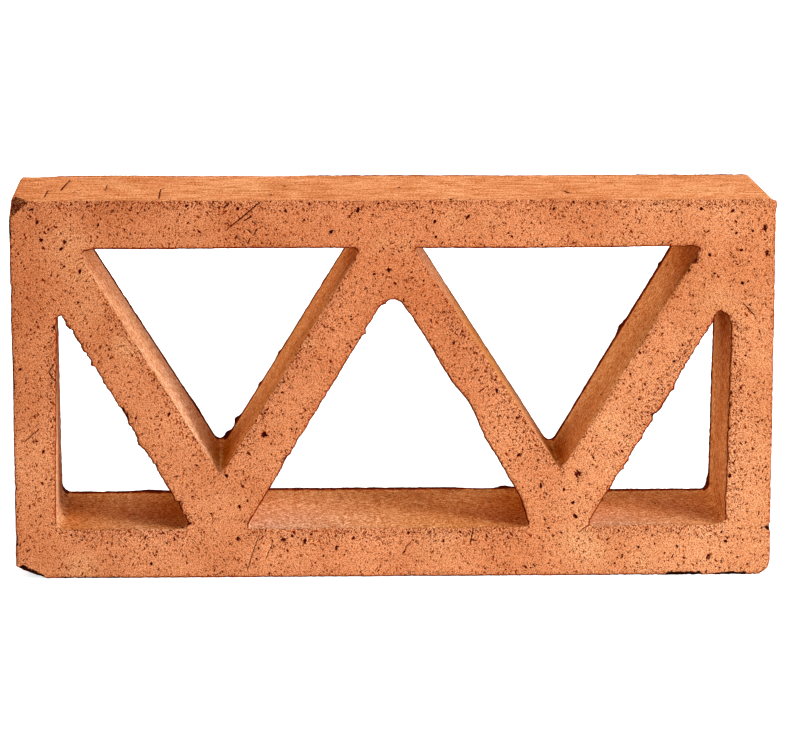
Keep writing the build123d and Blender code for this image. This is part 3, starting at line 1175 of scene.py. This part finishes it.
def pressed(m, place, mottle):
    """The skin that the die left: its tone, its pits and specks, and its height for the bump."""
    grit = m.noise(place, *SKIN_GRIT)
    streaks = m.noise(m.drawn(place, 0.0, STREAK_DRAW), *STREAKS)
    grain = m.mix(m.field("outside"), m.noise(place, *WALL_GRAIN), streaks)
    swings = [m.swing(grain, *SKIN_GRAIN_SWING), m.swing(grit, *SKIN_GRIT_SWING)]
    tone = m.joined("ADD", SKIN_TONE, *swings, m.swing(mottle, *SKIN_MOTTLE_SWING))
    holes = m.pits(m.bent(place, *SKIN_BEND), *SKIN_PITS, flat=False)
    holes = m.math("MULTIPLY", holes, m.step(m.noise(place, *SKIN_CLUSTERS), *SKIN_CLUSTER_SPAN))
    specks = m.step(m.noise(place, *SPECKS), *SPECK_SPAN)
    loose = m.math("MAXIMUM", m.field("crumble"), m.field("rim"))
    ragged = m.math("MULTIPLY", loose, m.step(grit, *RAGGED_SPAN))
    return tone, m.joined("MAXIMUM", holes, specks, ragged), bumps(m, grain, grit, SKIN_HEIGHTS)


def ground(m, place):
    """The clay's own colour, in clouds, with its paler and redder places."""
    tint = m.field("tint")
    colour = m.mix(m.step(m.noise(place, *CLOUDS), *CLOUD_SPAN), CLAY, CLAY_RED)
    colour = m.mix(m.ramp(tint, 0.0, 1.0, 0.0, PALE_SHARE), colour, CLAY_PALE)
    return m.mix(m.ramp(tint, 0.0, -1.0, 0.0, RED_SHARE), colour, CLAY_RED)


def worn(m, place):
    """What turns dark besides pits: painted shade along the arrises, chips and marks."""
    # Painted shade along the arrises, in patches
    patches = m.step(m.noise(place, *EDGE_PATCHES), *EDGE_PATCH_SPAN)
    edge = m.step(m.math("MULTIPLY", m.field("edge"), patches), *EDGE_SPAN)
    ragged = m.math("ADD", m.field("hollow"), m.swing(m.noise(place, *HOLLOW_GRIT), *HOLLOW_SWING))
    return m.math("MAXIMUM", edge, m.step(ragged, *HOLLOW_SPAN))


def shaded(m, colour, tone, holes):
    """The colour by its tone, where green and blue fall faster than red, as they do in dark clay."""
    tone = m.math("MAXIMUM", tone, LEAST_TONE)
    tone = m.math("MULTIPLY", tone, m.ramp(holes, 0.0, 1.0, 1.0, HOLE_TONE))
    green = m.math("MAXIMUM", m.math("POWER", tone, GREEN_FALL), LEAST_GREEN)
    blue = m.math("MAXIMUM", m.math("POWER", tone, BLUE_FALL), LEAST_BLUE)
    parts = m.node("CombineColor", {0: tone, 1: green, 2: blue})
    return m.mix(1.0, colour, parts.outputs[0], "MULTIPLY")


def clay(name, cut):
    """Fired clay, torn by the wire on a cut face and smoothed by the die elsewhere."""
    m = Nodes(bpy.data.materials.new(name))
    place = m.node("TexCoord").outputs["Object"]
    mottle = m.noise(place, *MOTTLE)
    colour = ground(m, place)
    if cut:
        split = m.node("SeparateXYZ", {0: place})
        tone, holes, height = torn(m, place, split, mottle)
        # Painted light: the cut faces grow brighter low down and to the right
        colour = m.mix(m.step(split.outputs["Z"], *LOW_LIGHT_SPAN), colour, LOW_LIGHT_CAST, "MULTIPLY")
        colour = m.mix(m.step(split.outputs["X"], *RIGHT_LIGHT_SPAN), colour, RIGHT_LIGHT_CAST, "MULTIPLY")
    else:
        tone, holes, height = pressed(m, place, mottle)
        # Walls in the openings: a shaded cast, a lit cast where painted light lies, and the painted shade
        cast = m.mix(m.field("painted_light"), WALL_SHADED, WALL_LIT)
        cast = m.mix(m.field("outside"), cast, OUTSIDE_CAST)
        colour = m.mix(m.field("painted_shade"), colour, SHADE_CAST, "MULTIPLY")
        colour = m.mix(1.0, colour, cast, "MULTIPLY")
    holes = m.math("MAXIMUM", holes, worn(m, place))
    colour = shaded(m, colour, tone, holes)
    # Painted shade in dark lines along the front's edges and a shadow along its foot
    line_shade = m.math("ADD", m.field("painted_lines"), m.swing(mottle, *SHADE_LINE_SWING))
    colour = m.mix(m.step(line_shade, *SHADE_LINE_SPAN), colour, SHADE_LINE_DARK)
    height = m.math("SUBTRACT", height, m.math("MULTIPLY", holes, PIT_HEIGHT))
    bump = m.node("Bump", {"Height": height, "Strength": 1.0, "Distance": BUMP}).outputs[0]
    finish = {"Base Color": colour, "Normal": bump, "Roughness": ROUGHNESS, "Specular IOR Level": 0.0}
    return m.end("OutputMaterial", m.node("BsdfPrincipled", finish))


block = build_block()
block.data.materials.append(clay("cut_clay", True))
block.data.materials.append(clay("skin_clay", False))
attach(block, "root")
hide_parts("block")


# Stage: the floor's size, its shade and its glow as distance from the block and strength, the world's
# light, and the lamps as place, width and height, and power
WHITE = (1.0, 1.0, 1.0, 1.0)
FLOOR_SIZE = 16.0
FLOOR_SHADE = (0.8, 0.8, 0.8, 1.0)
GLOW_NEAR = (0.25, 0.8)
GLOW_FAR = (0.9, 1.0)
WORLD_LIGHT = 0.032
LAMP_AIM = (0.0, 0.0, 0.1)
LAMPS = [
    ("low_key", (1.9, -1.5, 0.35), (0.9, 0.6), 40.0),
    ("high_key", (1.0, -0.9, 1.0), (0.6, 0.6), 12.8),
    ("top", (0.0, -0.1, 1.7), (1.6, 1.0), 17.0),
    ("top_back", (0.2, 1.2, 1.4), (1.4, 0.8), 4.5),
    ("back", (0.0, 1.8, 0.5), (2.0, 1.0), 20.0),
    ("left_back", (-1.3, 1.0, 0.6), (0.8, 0.8), 9.0),
    ("behind", (-0.5, 1.9, 0.4), (0.6, 0.6), 14.0),
]


def seen_directly(m):
    """1 for what the camera sees, also in a mirror or through glass, and 0 for other light."""
    path = m.node("LightPath").outputs
    seen = m.math("MAXIMUM", path["Is Camera Ray"], path["Is Glossy Ray"])
    return m.math("MAXIMUM", seen, path["Is Transmission Ray"])


def white_floor():
    """A pale floor that takes the block's shadow: near white to the camera, further off quite white."""
    m = Nodes(bpy.data.materials.new("floor_white"))
    place = m.node("TexCoord").outputs["Object"]
    far = m.node("VectorMath", {0: place}, operation="LENGTH").outputs["Value"]
    glow = m.step(far, GLOW_NEAR[0], GLOW_FAR[0], GLOW_NEAR[1], GLOW_FAR[1])
    lit = m.node("BsdfDiffuse", {"Color": FLOOR_SHADE}).outputs[0]
    glowing = m.node("Emission", {"Color": WHITE, "Strength": glow}).outputs[0]
    both = m.node("AddShader", {0: lit, 1: glowing}).outputs[0]
    return m.end("OutputMaterial", m.node("MixShader", {0: seen_directly(m), 1: lit, 2: both}))


def add_floor():
    bpy.ops.mesh.primitive_plane_add(size=FLOOR_SIZE, location=(0.0, 0.0, 0.0))
    floor = bpy.context.object
    floor.name = "floor"
    floor.data.materials.append(white_floor())


def add_world():
    """A dim white world on the block, and a white one for the camera."""
    m = Nodes(bpy.data.worlds.new("world"))
    glow = m.ramp(seen_directly(m), 0.0, 1.0, WORLD_LIGHT, 1.0)
    sky = m.node("Background", {"Color": WHITE, "Strength": glow})
    bpy.context.scene.world = m.end("OutputWorld", sky)


def add_light(name, place, size, power):
    """A soft box of that width and height in metres."""
    data = bpy.data.lights.new(name, "AREA")
    data.shape = "RECTANGLE"
    data.size, data.size_y = size
    data.energy = power
    lamp = bpy.data.objects.new(name, data)
    lamp.location = place
    lamp.rotation_euler = (Vector(LAMP_AIM) - Vector(place)).to_track_quat("-Z", "Y").to_euler()
    bpy.context.scene.collection.objects.link(lamp)


add_floor()
add_world()
for lamp in LAMPS:
    add_light(*lamp)
bpy.context.scene.view_settings.view_transform = "Standard"
